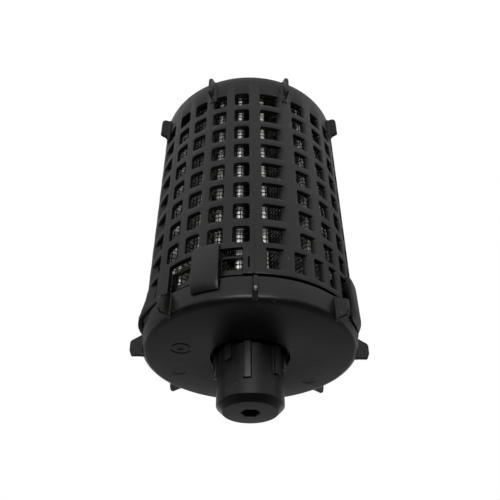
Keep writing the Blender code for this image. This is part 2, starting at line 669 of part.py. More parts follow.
# Slotted tube inside the pleats, rolled up from a flat grid
def make_core_tube():
    bottom = BOND_BOTTOM
    top = TOP_DISC_BOTTOM - CLEARANCE
    pitch = (top - bottom) / CORE_SLOT_ROWS
    heights = [bottom]
    for row in range(CORE_SLOT_ROWS):
        middle = bottom + pitch * (row + 0.5)
        heights += [middle - CORE_SLOT_HEIGHT / 2, middle + CORE_SLOT_HEIGHT / 2]
    heights.append(top)
    slot = math.degrees(CORE_SLOT_WIDTH / CORE_RADIUS)
    pitch_angle = 360.0 / CORE_SLOT_COLUMNS
    shares = (0.0, 0.5, 1.0, 1.0 + (pitch_angle / slot - 1.0) / 2)
    angles = [pitch_angle * column + slot * share for column in range(CORE_SLOT_COLUMNS) for share in shares]
    columns = len(angles)
    bm = bmesh.new()
    grid = bmesh.ops.create_grid(bm, x_segments=columns, y_segments=len(heights) - 1, size=1.0)
    for order, vert in enumerate(grid["verts"]):
        column, row = order % (columns + 1), order // (columns + 1)
        vert.co = (column, row, 0.0)
    doomed = []
    for face in bm.faces:
        corner = min((vert.co.x, vert.co.y) for vert in face.verts)
        if corner[0] % 4 < 2 and corner[1] % 2 == 1:
            doomed.append(face)
    bmesh.ops.delete(bm, geom=doomed, context="FACES_ONLY")
    for vert in bm.verts:
        column, row = round(vert.co.x), round(vert.co.y)
        vert.co = polar(CORE_RADIUS - CORE_WALL / 2, angles[column % columns], heights[row])
    bmesh.ops.remove_doubles(bm, verts=bm.verts, dist=0.001 * MM)
    loose = [vert for vert in bm.verts if not vert.link_faces]
    bmesh.ops.delete(bm, geom=loose, context="VERTS")
    bmesh.ops.recalc_face_normals(bm, faces=bm.faces)
    tube = add_part("core_tube", bm, STEEL)
    solidify = tube.modifiers.new("wall", "SOLIDIFY")
    solidify.thickness = CORE_WALL
    solidify.offset = 0.0
    solidify.use_even_offset = True
    return tube


def ring_outline(inner, outer, bottom, top):
    return ((outer, top), (outer, bottom), (inner, bottom), (inner, top))


def make_end_discs():
    lip_top = BOND_BOTTOM + BOND_HEIGHT
    outer_lip = ELEMENT_RADIUS - DISC_SHEET
    inner_lip = LIP_RADIUS - DISC_SHEET
    plate_top = DISC_BOTTOM + DISC_SHEET
    turned("lower_end_disc", (
        (ELEMENT_RADIUS, lip_top), (ELEMENT_RADIUS, DISC_BOTTOM), (inner_lip, DISC_BOTTOM),
        (inner_lip, lip_top), (LIP_RADIUS, lip_top), (LIP_RADIUS, plate_top), (outer_lip, plate_top),
        (outer_lip, lip_top),
    ), STEEL)
    top = TOP_DISC_BOTTOM + DISC_SHEET
    turned("upper_end_disc", (
        (0.0, top), (ELEMENT_RADIUS, top), (ELEMENT_RADIUS, TOP_BOND_BOTTOM), (outer_lip, TOP_BOND_BOTTOM),
        (outer_lip, TOP_DISC_BOTTOM), (0.0, TOP_DISC_BOTTOM),
    ), STEEL)


def make_bonds_and_seals():
    inner = CORE_RADIUS + CLEARANCE
    outer = ELEMENT_RADIUS - DISC_SHEET - CLEARANCE
    turned("lower_bond_ring", ring_outline(inner, outer, BOND_BOTTOM, BOND_BOTTOM + BOND_HEIGHT), ADHESIVE)
    turned(
        "upper_bond_ring", ring_outline(inner, outer, TOP_BOND_BOTTOM, TOP_BOND_BOTTOM + BOND_HEIGHT), ADHESIVE)
    inner = OUTLET_BORE_RADIUS + OUTLET_WALL + 2 * CLEARANCE
    turned(
        "lower_gasket",
        ring_outline(inner, inner + GASKET_WIDTH, GASKET_BOTTOM, GASKET_BOTTOM + GASKET_HEIGHT), RUBBER)
    middle = PRESS_RING_RADIUS - PRESS_RING_WALL / 2
    turned("upper_gasket", ring_outline(
        middle - GASKET_WIDTH / 2, middle + GASKET_WIDTH / 2,
        TOP_GASKET_BOTTOM, TOP_GASKET_BOTTOM + GASKET_HEIGHT), RUBBER)
    outer = OUTLET_BORE_RADIUS + SEAL_GROOVE_DEPTH - CLEARANCE
    inner = OUTLET_BORE_RADIUS - SEAL_LIP
    bottom = PLATE_TOP + 2 * CLEARANCE
    top = bottom + SEAL_HEIGHT
    corner = SEAL_HEIGHT / 4
    turned("outlet_seal", (
        (outer, top), (outer, bottom), (inner + corner, bottom), (inner, bottom + corner),
        (inner, top - corner), (inner + corner, top),
    ), RUBBER)


make_cage()
make_outlet_plate()
make_end_cap()
make_pleats("outer_support_mesh", 1, STEEL_MESH, 4, 1)
make_pleats("filter_medium", 0, CLOTH, 2, 2)
make_pleats("inner_support_mesh", -1, STEEL_MESH, 1, 2)
make_seam_clip()
make_core_tube()
make_end_discs()
make_bonds_and_seals()
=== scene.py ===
import bisect
import math

import bpy
from mathutils import Matrix, Vector


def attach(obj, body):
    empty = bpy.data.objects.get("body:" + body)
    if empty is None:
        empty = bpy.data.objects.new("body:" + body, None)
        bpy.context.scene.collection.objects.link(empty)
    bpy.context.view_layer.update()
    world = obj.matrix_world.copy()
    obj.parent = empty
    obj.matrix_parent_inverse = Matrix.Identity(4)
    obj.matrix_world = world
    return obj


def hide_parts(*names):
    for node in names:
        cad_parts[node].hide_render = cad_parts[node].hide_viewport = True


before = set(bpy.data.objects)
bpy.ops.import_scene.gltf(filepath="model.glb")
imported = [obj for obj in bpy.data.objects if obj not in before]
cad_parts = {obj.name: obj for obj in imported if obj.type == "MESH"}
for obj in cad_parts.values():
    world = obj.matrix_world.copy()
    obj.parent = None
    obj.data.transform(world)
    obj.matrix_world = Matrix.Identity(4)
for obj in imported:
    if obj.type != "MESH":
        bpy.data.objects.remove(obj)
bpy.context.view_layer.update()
mm = 0.001
weldDistance = 0.002 * mm
smoothAngle = 40               # edges that bend more than this stay crisp
flatAngle = 0.2                # faces that bend less than this are joined into one


# General tools

def selectOnly(*pieces):
    bpy.ops.object.select_all(action="DESELECT")
    for piece in pieces:
        piece.select_set(True)
    bpy.context.view_layer.objects.active = pieces[0]


def editAll(piece):
    selectOnly(piece)
    bpy.ops.object.mode_set(mode="EDIT")
    bpy.ops.mesh.select_all(action="SELECT")


def leaveEdit():
    bpy.ops.object.mode_set(mode="OBJECT")


def addObject(name, data):
    added = bpy.data.objects.new(name, data)
    bpy.context.scene.collection.objects.link(added)
    return added


def hexToLinear(hexColour):
    channels = [int(hexColour[i:i + 2], 16) / 255 for i in (1, 3, 5)]
    return [c / 12.92 if c <= 0.04045 else ((c + 0.055) / 1.055) ** 2.4 for c in channels] + [1.0]


def polar(radius, angle, height=0.0):
    turn = math.radians(angle)
    return Vector((radius * math.cos(turn), radius * math.sin(turn), height))


# An input is given either a link or a value
def addNode(tree, kind, inputs=None, **settings):
    node = tree.nodes.new(kind)
    for key, value in settings.items():
        setattr(node, key, value)
    for socket, source in (inputs or {}).items():
        if isinstance(source, bpy.types.NodeSocket):
            tree.links.new(source, node.inputs[socket])
        else:
            node.inputs[socket].default_value = source
    return node


# Stops are a position with a hex colour or with a level of brightness
def addRamp(tree, factor, *stops):
    ramp = addNode(tree, "ShaderNodeValToRGB", {"Fac": factor})
    elements = ramp.color_ramp.elements
    while len(elements) < len(stops):
        elements.new(0.5)
    for element, (position, tone) in zip(elements, stops):
        element.position = position
        element.color = hexToLinear(tone) if isinstance(tone, str) else (tone, tone, tone, 1)
    return ramp.outputs["Color"]


def newMaterial(name):
    material = bpy.data.materials.new(name)
    material.use_nodes = True
    tree = material.node_tree
    place = addNode(tree, "ShaderNodeTexCoord").outputs["Object"]
    return material, tree, tree.nodes["Principled BSDF"], place


def tidyMesh(piece):
    editAll(piece)
    bpy.ops.mesh.remove_doubles(threshold=weldDistance)
    bpy.ops.mesh.normals_make_consistent(inside=False)
    leaveEdit()
    bpy.ops.object.shade_smooth_by_angle(angle=math.radians(smoothAngle))


def joinPieces(name, pieces):
    selectOnly(*pieces)
    if len(pieces) > 1:
        bpy.ops.object.join()
    piece = bpy.context.view_layer.objects.active
    piece.name = name
    return piece


def finishPiece(piece, material, slot, *nodes):
    piece.data.materials.clear()
    piece.data.materials.append(material)
    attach(piece, "root")
    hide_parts(*nodes)


def addPath(curve, points, closed):
    spline = curve.splines.new("POLY")
    spline.points.add(len(points) - 1)
    for target, place in zip(spline.points, points):
        target.co = (*place, 1.0)
    spline.use_cyclic_u = closed


def curveToMesh(name, curve):
    selectOnly(addObject(name, curve))
    bpy.ops.object.convert(target="MESH")
    return bpy.context.view_layer.objects.active


# Plate from closed outlines, the first one outside and the others its holes, with rounded edges.
# It lies on z = 0 in the middle of its thickness.
def flatPlate(name, outlines, thickness, edge):
    curve = bpy.data.curves.new(name, "CURVE")
    curve.dimensions = "2D"
    curve.fill_mode = "BOTH"
    curve.bevel_depth = edge
    curve.bevel_resolution = 1
    curve.offset = -edge
    curve.extrude = thickness / 2 - edge
    for outline in outlines:
        addPath(curve, [(x, y, 0.0) for x, y in outline], True)
    return curveToMesh(name, curve)


def cutStrips(piece, places, normal):
    editAll(piece)
    for place in places:
        bpy.ops.mesh.select_all(action="SELECT")
        bpy.ops.mesh.bisect(plane_co=Vector(normal) * place, plane_no=normal)
    leaveEdit()


def reshape(piece, rule):
    for vert in piece.data.vertices:
        vert.co = rule(vert.co)
    piece.data.update()


# Arc in an outline, from one direction to another, in degrees
def arc(centre, radius, start, end, steps):
    turns = [math.radians(start + (end - start) * i / steps) for i in range(steps + 1)]
    return [(centre[0] + radius * math.cos(t), centre[1] + radius * math.sin(t)) for t in turns]


def roundedBox(x0, y0, x1, y1, corner, steps=4):
    outline = []
    for x, y, start in ((x1 - corner, y1 - corner, 0), (x0 + corner, y1 - corner, 90),
                        (x0 + corner, y0 + corner, 180), (x1 - corner, y0 + corner, 270)):
        outline += arc((x, y), corner, start, start + 90, steps)
    return outline


# Corners of a closed outline, each with a radius that rounds it off
def roundCorners(corners, steps):
    outline = []
    for i, (x, y, radius) in enumerate(corners):
        if radius == 0:
            outline.append((x, y))
            continue
        here = Vector((x, y))
        before = (Vector(corners[i - 1][:2]) - here).normalized()
        after = (Vector(corners[(i + 1) % len(corners)][:2]) - here).normalized()
        half = before.angle(after) / 2
        centre = here + (before + after).normalized() * radius / math.sin(half)
        start = here + before * radius / math.tan(half) - centre
        end = here + after * radius / math.tan(half) - centre
        first = math.atan2(start.y, start.x)
        sweep = (math.atan2(end.y, end.x) - first + math.pi) % math.tau - math.pi
        outline += [(centre.x + radius * math.cos(first + sweep * s / steps),
                     centre.y + radius * math.sin(first + sweep * s / steps)) for s in range(steps + 1)]
    return outline


# Turned solid: a profile in radius and height is drawn in edit mode and spun round the axis
def turnedPiece(name, profile, steps):
    mesh = bpy.data.meshes.new(name)
    count = len(profile)
    mesh.from_pydata([(r, 0, z) for r, z in profile], [(i, (i + 1) % count) for i in range(count)], [])
    piece = addObject(name, mesh)
    editAll(piece)
    bpy.ops.mesh.spin(steps=steps, angle=math.tau, center=(0, 0, 0), axis=(0, 0, 1))
    leaveEdit()
    tidyMesh(piece)
    return piece


# Camera at the photograph's angle, turned over so that the hub points down
cameraSettings = {
    "aim": (-0.17 * mm, 0.0, 64.8 * mm),
    "distance": 241.6 * mm,
    "elevation": 37.72,
    "roll": 179.68,
    "lens": 41.02,
    "sensor": 36.0,
    "nearest": 10.0 * mm,
}


def makeCamera(settings):
    data = bpy.data.cameras.new("camera")
    data.lens = settings["lens"]
    data.sensor_width = settings["sensor"]
    data.clip_start = settings["nearest"]
    camera = addObject("camera", data)
    rise = math.radians(settings["elevation"])
    aim = Vector(settings["aim"])
    camera.location = aim + settings["distance"] * Vector((0, -math.cos(rise), math.sin(rise)))
    facing = (aim - camera.location).to_track_quat("-Z", "Y").to_matrix().to_4x4()
    spin = Matrix.Rotation(math.radians(settings["roll"]), 4, "Z")
    camera.matrix_world = Matrix.Translation(camera.location) @ facing @ spin
    bpy.context.scene.camera = camera


makeCamera(cameraSettings)
bpy.context.scene.view_settings.view_transform = "Standard"
print("camera is placed")


# Studio: white paper, a pale backdrop that fades upwards, a dark side round the camera, one lamp in front
studio = {
    "floorSize": 8.0,
    "floorDrop": 0.02 * mm,
    "floorTone": "#e8e8e8",
    "floorRoughness": 0.9,
    "floorShare": 0.15,        # share of the floor's brightness that shows shadows
    "floorGlow": 1.84,
    "floorSeen": 0.625,        # share of the glow that the camera sees, enough for white
    "floorFade": (             # how bright the pieces see the floor, from the front to the back
        (0.4, 0.68), (0.45, 0.6), (0.5, 0.25), (0.6, 0.15), (0.75, 0.26), (1.0, 0.38),
    ),
    "fadeLength": 1.0,
    "worldGlow": 1.6,
    "worldTurn": (-0.35, 0.25),    # Y of the direction where the dark side ends and the backdrop begins
    "backFade": (              # height of the direction, brightness
        (0.0, 1.0), (0.06, 0.8), (0.14, 0.32), (0.3, 0.15), (0.45, 0.17), (0.6, 0.2), (1.0, 0.08),
    ),
    "frontFade": ((0.0, 0.05), (0.11, 0.04), (0.25, 0.03), (0.5, 0.03), (1.0, 0.05)),
    "lampPlace": (0.0, -235.0 * mm, 127.0 * mm),
    "lampAim": (0.0, 0.0, 60.0 * mm),
    "lampSize": (160.0 * mm, 50.0 * mm),
    "lampWatts": 0.29,
}


def isSeen(tree):
    path = addNode(tree, "ShaderNodeLightPath").outputs
    seen = addNode(tree, "ShaderNodeMath", {0: path["Is Camera Ray"], 1: path["Is Glossy Ray"]},
                   operation="MAXIMUM")
    return addNode(tree, "ShaderNodeMath", {0: seen.outputs[0], 1: path["Is Transmission Ray"]},
                   operation="MAXIMUM").outputs[0]


def makeFloor(settings):
    bpy.ops.mesh.primitive_plane_add(size=settings["floorSize"], location=(0, 0, -settings["floorDrop"]))
    floor = bpy.context.view_layer.objects.active
    floor.name = "floor"
    material, tree, shader, place = newMaterial("white_paper")
    shader.inputs["Base Color"].default_value = hexToLinear(settings["floorTone"])
    shader.inputs["Roughness"].default_value = settings["floorRoughness"]
    depth = addNode(tree, "ShaderNodeSeparateXYZ", {"Vector": place}).outputs["Y"]
    reach = settings["fadeLength"] / 2
    back = addNode(tree, "ShaderNodeMapRange", {"Value": depth, "From Min": -reach, "From Max": reach})
    camera = addNode(tree, "ShaderNodeLightPath").outputs["Is Camera Ray"]
    tone = addNode(tree, "ShaderNodeMix", {
        "Factor": camera, 6: addRamp(tree, back.outputs[0], *settings["floorFade"]),
        7: (*[settings["floorSeen"]] * 3, 1)}, data_type="RGBA")
    glow = addNode(tree, "ShaderNodeEmission", {"Color": tone.outputs[2], "Strength": settings["floorGlow"]})
    pale = addNode(tree, "ShaderNodeMixShader",
                   {"Fac": settings["floorShare"], 1: glow.outputs[0], 2: shader.outputs[0]})
    seen = addNode(tree, "ShaderNodeMixShader", {0: isSeen(tree), 1: shader.outputs[0], 2: pale.outputs[0]})
    tree.links.new(seen.outputs[0], tree.nodes["Material Output"].inputs["Surface"])
    floor.data.materials.append(material)


def makeWorld(settings):
    world = bpy.data.worlds.new("studio")
    bpy.context.scene.world = world
    world.use_nodes = True
    tree = world.node_tree
    ways = addNode(tree, "ShaderNodeSeparateXYZ",
                   {"Vector": addNode(tree, "ShaderNodeTexCoord").outputs["Generated"]}).outputs
    dark, bright = settings["worldTurn"]
    behind = addNode(tree, "ShaderNodeMapRange", {"Value": ways["Y"], "From Min": dark, "From Max": bright},
                     interpolation_type="SMOOTHSTEP")
    fade = addNode(tree, "ShaderNodeMix", {
        "Factor": behind.outputs[0], 6: addRamp(tree, ways["Z"], *settings["frontFade"]),
        7: addRamp(tree, ways["Z"], *settings["backFade"])}, data_type="RGBA")
    dim = addNode(tree, "ShaderNodeBackground", {"Color": fade.outputs[2], "Strength": settings["worldGlow"]})
    white = addNode(tree, "ShaderNodeBackground", {"Color": (1, 1, 1, 1), "Strength": 1.0})
    camera = addNode(tree, "ShaderNodeLightPath").outputs["Is Camera Ray"]
    mix = addNode(tree, "ShaderNodeMixShader", {0: camera, 1: dim.outputs[0], 2: white.outputs[0]})
    tree.links.new(mix.outputs[0], tree.nodes["World Output"].inputs["Surface"])


def makeLamp(settings):
    data = bpy.data.lights.new("soft_lamp", "AREA")
    data.shape = "RECTANGLE"
    data.size, data.size_y = settings["lampSize"]
    data.energy = settings["lampWatts"]
    lamp = addObject("soft_lamp", data)
    lamp.location = settings["lampPlace"]
    lamp.rotation_euler = (Vector(settings["lampAim"]) - lamp.location).to_track_quat("-Z", "Y").to_euler()


makeFloor(studio)
makeWorld(studio)
makeLamp(studio)
print("studio is lit")


# Materials

def addNoise(tree, place, size, detail, roughness=0.5):
    return addNode(tree, "ShaderNodeTexNoise", {
        "Vector": place, "Scale": 1 / size, "Detail": detail, "Roughness": roughness}).outputs["Fac"]


def addBump(tree, shader, height, strength, depth):
    bump = addNode(tree, "ShaderNodeBump", {"Height": height, "Strength": strength, "Distance": depth})
    tree.links.new(bump.outputs[0], shader.inputs["Normal"])


# What the plain materials share: a colour that wanders between two tones
def makeClouded(name, look):
    material, tree, shader, place = newMaterial(name)
    cloud = addNoise(tree, place, look["cloudSize"], look["detail"])
    dark, light = look["tones"]
    tree.links.new(addRamp(tree, cloud, (0.0, dark), (1.0, light)), shader.inputs["Base Color"])
    shader.inputs["Metallic"].default_value = look["metallic"]
    shader.inputs["Roughness"].default_value = look["roughness"]
    return material, tree, shader, place, cloud


# Black glass-filled nylon (PA66), injection moulded in a spark-eroded mould: a satin skin with a fine grain,
# faint flow marks and a little pale dust; the thin fins come from polished slots, so they are smoother
nylonLook = {
    "flowSize": 9.0 * mm,
    "flowTones": ((0.3, "#090909"), (0.75, "#11110f")),
    "dustTone": "#5c5c58",
    "speckSize": 2.4 * mm,
    "speckEdge": (0.06, 0.13),     # a speck fades out between these shares of its cell
    "cloudSize": 2.2 * mm,
    "dustyClouds": (0.5, 0.62),    # dust lies only where the clouds are thicker than this
    "satinClouds": (0.3, 0.7),
    "grainSize": 0.6 * mm,
    "grainDepth": 0.04 * mm,
    "refraction": 1.36,
    "eroded": {"roughness": (0.33, 0.42), "grain": 0.35},
    "polished": {"roughness": (0.18, 0.26), "grain": 0.05},
}


def makeNylon(name, finish):
    n = nylonLook
    material, tree, shader, place = newMaterial(name)
    cloud = addNoise(tree, place, n["cloudSize"], 3.0, 0.6)
    tint = addRamp(tree, addNoise(tree, place, n["flowSize"], 3.0, 0.55), *n["flowTones"])
    cells = addNode(tree, "ShaderNodeTexVoronoi", {"Vector": place, "Scale": 1 / n["speckSize"]})
    core, rim = n["speckEdge"]
    bare, dusty = n["dustyClouds"]
    dust = addNode(tree, "ShaderNodeMath", {
        0: addRamp(tree, cells.outputs["Distance"], (core, 1), (rim, 0)),
        1: addRamp(tree, cloud, (bare, 0), (dusty, 1))}, operation="MULTIPLY")
    skin = addNode(tree, "ShaderNodeMix", {"Factor": dust.outputs[0], 6: tint, 7: hexToLinear(n["dustTone"])},
                   data_type="RGBA")
    tree.links.new(skin.outputs[2], shader.inputs["Base Color"])
    low, high = n["satinClouds"]
    smoothest, roughest = n[finish]["roughness"]
    satin = addNode(tree, "ShaderNodeMapRange", {
        "Value": cloud, "From Min": low, "From Max": high, "To Min": smoothest, "To Max": roughest})
    tree.links.new(satin.outputs[0], shader.inputs["Roughness"])
    grain = addNoise(tree, place, n["grainSize"], 2.0, 0.65)
    addBump(tree, shader, grain, n[finish]["grain"], n["grainDepth"])
    shader.inputs["IOR"].default_value = n["refraction"]
    return material


# Stainless steel wire, drawn through a die and woven: smooth round bars, each with one narrow glint; its
# colour is painted near-black, a painted shade for the dark surroundings that the bright steel reflects, so
# that the wires stay dark against the bright cloth behind them
paintedDarkWireLook = {"cloudSize": 1.6 * mm, "detail": 2.0, "tones": ("#2a2a28", "#454542"), "metallic": 1.0,
            "roughness": 0.35}


def makeWire():
    return makeClouded("stainless_wire_painted_dark", paintedDarkWireLook)[0]


# Fine stainless cloth, woven and then pleated: its wires lie level and spread the light only up and down,
# so the crests shine and the flanks stay dark; the 0.25 mm weave is drawn at 0.5 mm, so that it shows
clothLook = {
    "cloudSize": 2.5 * mm,
    "detail": 2.0,
    "tones": ("#e9e9e4", "#fbfbf8"),
    "metallic": 0.88,
    "roughness": 0.58,
    "spread": 0.7,
    "weave": 0.5 * mm,
    "weaveRepeat": 3.2,        # waves that the texture makes for each unit of its scale
    "weaveWander": 0.4,
    "weaveStrength": 0.5,
    "weaveDepth": 0.05 * mm,
}


def makeCloth():
    c = clothLook
    material, tree, shader, place, cloud = makeClouded("fine_wire_cloth", c)
    shader.inputs["Anisotropic"].default_value = c["spread"]
    tree.links.new(addNode(tree, "ShaderNodeCombineXYZ", {"Z": 1.0}).outputs[0], shader.inputs["Tangent"])
    weave = addNode(tree, "ShaderNodeTexWave", {
        "Vector": place, "Scale": 1 / c["weave"] / c["weaveRepeat"], "Distortion": c["weaveWander"]},
        bands_direction="Z")
    addBump(tree, shader, weave.outputs["Fac"], c["weaveStrength"], c["weaveDepth"])
    return material


# Tin-plated steel sheet, rolled and dipped: soft grey sheen with faint cloudy spangle
tinLook = {"cloudSize": 6.0 * mm, "detail": 4.0, "tones": ("#b3b2ac", "#d2d1cc"), "metallic": 1.0,
           "roughness": 0.28, "dullest": 0.5}


def makePlatedSteel():
    material, tree, shader, place, cloud = makeClouded("tin_plated_steel", tinLook)
    rough = addNode(tree, "ShaderNodeMapRange", {
        "Value": cloud, "To Min": tinLook["roughness"], "To Max": tinLook["dullest"]})
    tree.links.new(rough.outputs[0], shader.inputs["Roughness"])
    return material


# Epoxy potting, poured and cured: dark amber, glossy and slightly uneven
pottingLook = {"cloudSize": 4.0 * mm, "detail": 3.0, "tones": ("#1a1611", "#2b251b"), "metallic": 0.0,
               "roughness": 0.25, "swell": 0.3, "swellDepth": 0.3 * mm}


def makePotting():
    material, tree, shader, place, cloud = makeClouded("epoxy_potting", pottingLook)
    addBump(tree, shader, cloud, pottingLook["swell"], pottingLook["swellDepth"])
    return material


# Nitrile rubber, moulded and vulcanised: black and dull, with a dusty bloom
rubberLook = {"cloudSize": 3.0 * mm, "detail": 3.0, "tones": ("#141414", "#242423"), "metallic": 0.0,
              "roughness": 0.7}


def makeRubber():
    return makeClouded("nitrile_rubber", rubberLook)[0]


nylon = makeNylon("glass_filled_nylon", "eroded")
smoothNylon = makeNylon("glass_filled_nylon_polished", "polished")
wire = makeWire()
cloth = makeCloth()
platedSteel = makePlatedSteel()
potting = makePotting()
rubber = makeRubber()
print("materials are ready")


# Cage: a flat panel with all its windows is rolled into a tube
cage = {
    "radius": 40.0 * mm,
    "wall": 2.0 * mm,
    "firstRow": 11.4 * mm,
    "rows": 8,
    "rowPitch": 10.5 * mm,
    "windowHeight": 7.3 * mm,
    "windowPitch": 9.0 * mm,
    "windowWidth": 5.7 * mm,
    "windowCorner": 1.0 * mm,
    "beltHeight": 8.7 * mm,
    "beltPitch": 6.35 * mm,
    "beltWidth": 4.25 * mm,
    "beltCorner": 0.8 * mm,
    "beltLand": 2.1 * mm,
    "mouthRim": 2.2 * mm,
    "capGap": 1.0 * mm,        # from the mouth to the end cap
    "edge": 0.22 * mm,
    "slide": 24.0,             # draw direction of a wide slide
    "narrowHalf": 26.45,       # half the narrow slide's span
    "narrowNotch": 20.8,
    "wideNotch": 11.5,
    "leastLand": 1.2 * mm,
    "spare": 4.0,              # the panel goes past half a turn by this, to have whole windows at its seam
    "spareLand": 1.0 * mm,
    "strip": 3.0,              # the rolled panel bends at every strip, in degrees
    "cornerSteps": 4,
    "partingDepth": 0.11 * mm,
    "partingWidth": 0.30 * mm,
    "partingShare": 0.25,      # share of its distance to a parting line that a point in the wall keeps
    "ease": 2.2 * mm,          # the mouth is eased outwards on two sides
    "easeAngle": -10.0,
    "easeSpread": 24.0,
    "slit": (-90.0, -89.2, 98.2 * mm, 102.8 * mm, 0.25 * mm),    # two directions, bottom, top, corner
}
cage["beltBottom"] = (cage["firstRow"] + (cage["rows"] - 1) * cage["rowPitch"]
                      + cage["windowHeight"] + cage["beltLand"])
cage["beltTop"] = cage["beltBottom"] + cage["beltHeight"]
cage["length"] = cage["beltTop"] + cage["mouthRim"]

# Each slide of the mould: its draw direction, half its span, half the notch that its spring arm stands in
slides = [
    (cage["slide"], 90 - cage["narrowHalf"], cage["wideNotch"]),
    (cage["slide"] + 90, cage["narrowHalf"], cage["narrowNotch"]),
    (cage["slide"] + 180, 90 - cage["narrowHalf"], cage["wideNotch"]),
    (cage["slide"] + 270, cage["narrowHalf"], cage["narrowNotch"]),
]


def along(angle):  # length along the unrolled panel
    return math.radians(angle) * cage["radius"]


def onPanel(angle):  # the panel runs from -180 to 180 degrees
    return (angle + 180) % 360 - 180


# Directions between which the windows of one row lie, seen from the slide's draw direction
def windowSpans(half, pitch, width, start, taken):
    room = cage["radius"] * math.sin(math.radians(half)) - cage["leastLand"]
    spans = []
    middle = start
    while middle + width / 2 <= room:
        if middle - width / 2 >= taken:
            for sign in (-1, 1):
                ends = sorted(math.degrees(math.asin((sign * middle + side * width / 2) / cage["radius"]))
                              for side in (-1, 1))
                spans.append(ends)
        middle += pitch
    return spans


def panelEdge(low, high):
    top, bottom, corner = cage["length"], cage["beltBottom"], cage["beltCorner"]
    outline = [(low, 0.0), (high, 0.0), (high, top)]
    starts = sorted((onPanel(slide - notch), notch) for slide, half, notch in slides)
    for start, notch in reversed(starts):
        x0, x1 = along(start), along(start + 2 * notch)
        outline.append((x1, top))
        outline += arc((x1 - corner, bottom + corner), corner, 0, -90, cage["cornerSteps"])
        outline += arc((x0 + corner, bottom + corner), corner, 270, 180, cage["cornerSteps"])
        outline.append((x0, top))
    return outline + [(low, top)]


def panelHoles():
    c, holes = cage, []
    for slide, half, notch in slides:
        for start, end in windowSpans(half, c["windowPitch"], c["windowWidth"], c["windowPitch"] / 2, 0):
            for row in range(c["rows"]):
                low = c["firstRow"] + row * c["rowPitch"]
                holes.append((slide + start, slide + end, low, low + c["windowHeight"], c["windowCorner"]))
        taken = c["radius"] * math.sin(math.radians(notch)) + c["leastLand"]
        for start, end in windowSpans(half, c["beltPitch"], c["beltWidth"], c["beltPitch"], taken):
            holes.append((slide + start, slide + end, c["beltBottom"], c["beltTop"], c["beltCorner"]))
    return holes + [c["slit"]]


def panelOutlines():
    reach = along(180 + cage["spare"])
    outlines = [panelEdge(-reach, reach)]
    for start, end, y0, y1, corner in panelHoles():
        width = along(end - start)
        for turn in (-1, 0, 1):
            x0 = along(onPanel(start)) + turn * along(360)
            if cage["spareLand"] - reach < x0 and x0 + width < reach - cage["spareLand"]:
                outlines.append(roundedBox(x0, y0, x0 + width, y1, corner, cage["cornerSteps"]))
    return outlines


def mouthEase(angle, height):
    run = cage["beltHeight"] + cage["beltLand"]
    rise = max(0.0, min(1.0, (height - cage["beltBottom"] + cage["beltLand"]) / run))
    turn = (angle - cage["easeAngle"] + 90) % 180 - 90
    if abs(turn) >= cage["easeSpread"]:
        return 0.0
    return cage["ease"] * rise * math.cos(math.radians(90 * turn / cage["easeSpread"])) ** 2


# A slide draws straight out, so the sides of its windows stay parallel through the wall
def drawnAngle(angle, depth):
    for slide, half, notch in slides:
        turn = (angle - slide + 180) % 360 - 180
        if abs(turn) <= half:
            across = cage["radius"] * math.sin(math.radians(turn)) / (cage["radius"] - depth)
            drawn = math.degrees(math.asin(max(-1.0, min(1.0, across))))
            limit = half - (half - abs(turn)) * cage["partingShare"]
            return slide + max(-limit, min(limit, drawn))
    return angle


def partingDip(angle):
    nearest = min(abs((angle - slide - half + 180) % 360 - 180) for slide, half, notch in slides)
    return cage["partingDepth"] * max(0.0, 1 - along(nearest) / (cage["partingWidth"] / 2))


def rollPoint(point):
    angle = math.degrees(point.x / cage["radius"])
    depth = cage["wall"] / 2 - point.z
    radius = cage["radius"] - depth + mouthEase(angle, point.y)
    if depth < cage["edge"] / 2:
        radius -= partingDip(angle)
    return polar(radius, drawnAngle(angle, depth), point.y)


def makeWall():
    panel = flatPlate("wall", panelOutlines(), cage["wall"], cage["edge"])
    editAll(panel)
    bpy.ops.mesh.remove_doubles(threshold=weldDistance)
    bpy.ops.mesh.dissolve_limited(angle_limit=math.radians(flatAngle))
    leaveEdit()
    places = [along(-180 + cage["strip"] * i) for i in range(1, round(360 / cage["strip"]))]
    for slide, half, notch in slides:
        middle = along(onPanel(slide + half))
        places += [middle - cage["partingWidth"] / 2, middle, middle + cage["partingWidth"] / 2]
    cutStrips(panel, places, (1, 0, 0))
    heights = [cage["beltBottom"] - cage["beltLand"], cage["beltBottom"],
               cage["beltBottom"] + cage["beltHeight"] / 2, cage["beltTop"]]
    cutStrips(panel, heights, (0, 1, 0))
    editAll(panel)
    for side in (-1, 1):
        bpy.ops.mesh.select_all(action="SELECT")
        bpy.ops.mesh.bisect(plane_co=(side * along(180), 0, 0), plane_no=(side, 0, 0), clear_outer=True)
    leaveEdit()
    reshape(panel, rollPoint)
    tidyMesh(panel)
    return panel


# Outlet plate: a turned disc with its collar and seal groove, which rests on a shoulder inside the cage
outletPlate = {
    "radius": 37.525 * mm,
    "recess": 3.0 * mm,
    "thickness": 2.2 * mm,
    "bore": 14.8 * mm,
    "collarWall": 2.2 * mm,
    "collarHeight": 9.8 * mm,
    "grooveDepth": 1.2 * mm,
    "sealHeight": 2.9 * mm,
    "clearance": 0.3 * mm,
    "edge": 0.4 * mm,
    "shoulder": (36.4 * mm, 0.8 * mm, 2.7 * mm),    # inner radius, bottom, top
    "steps": 144,
}


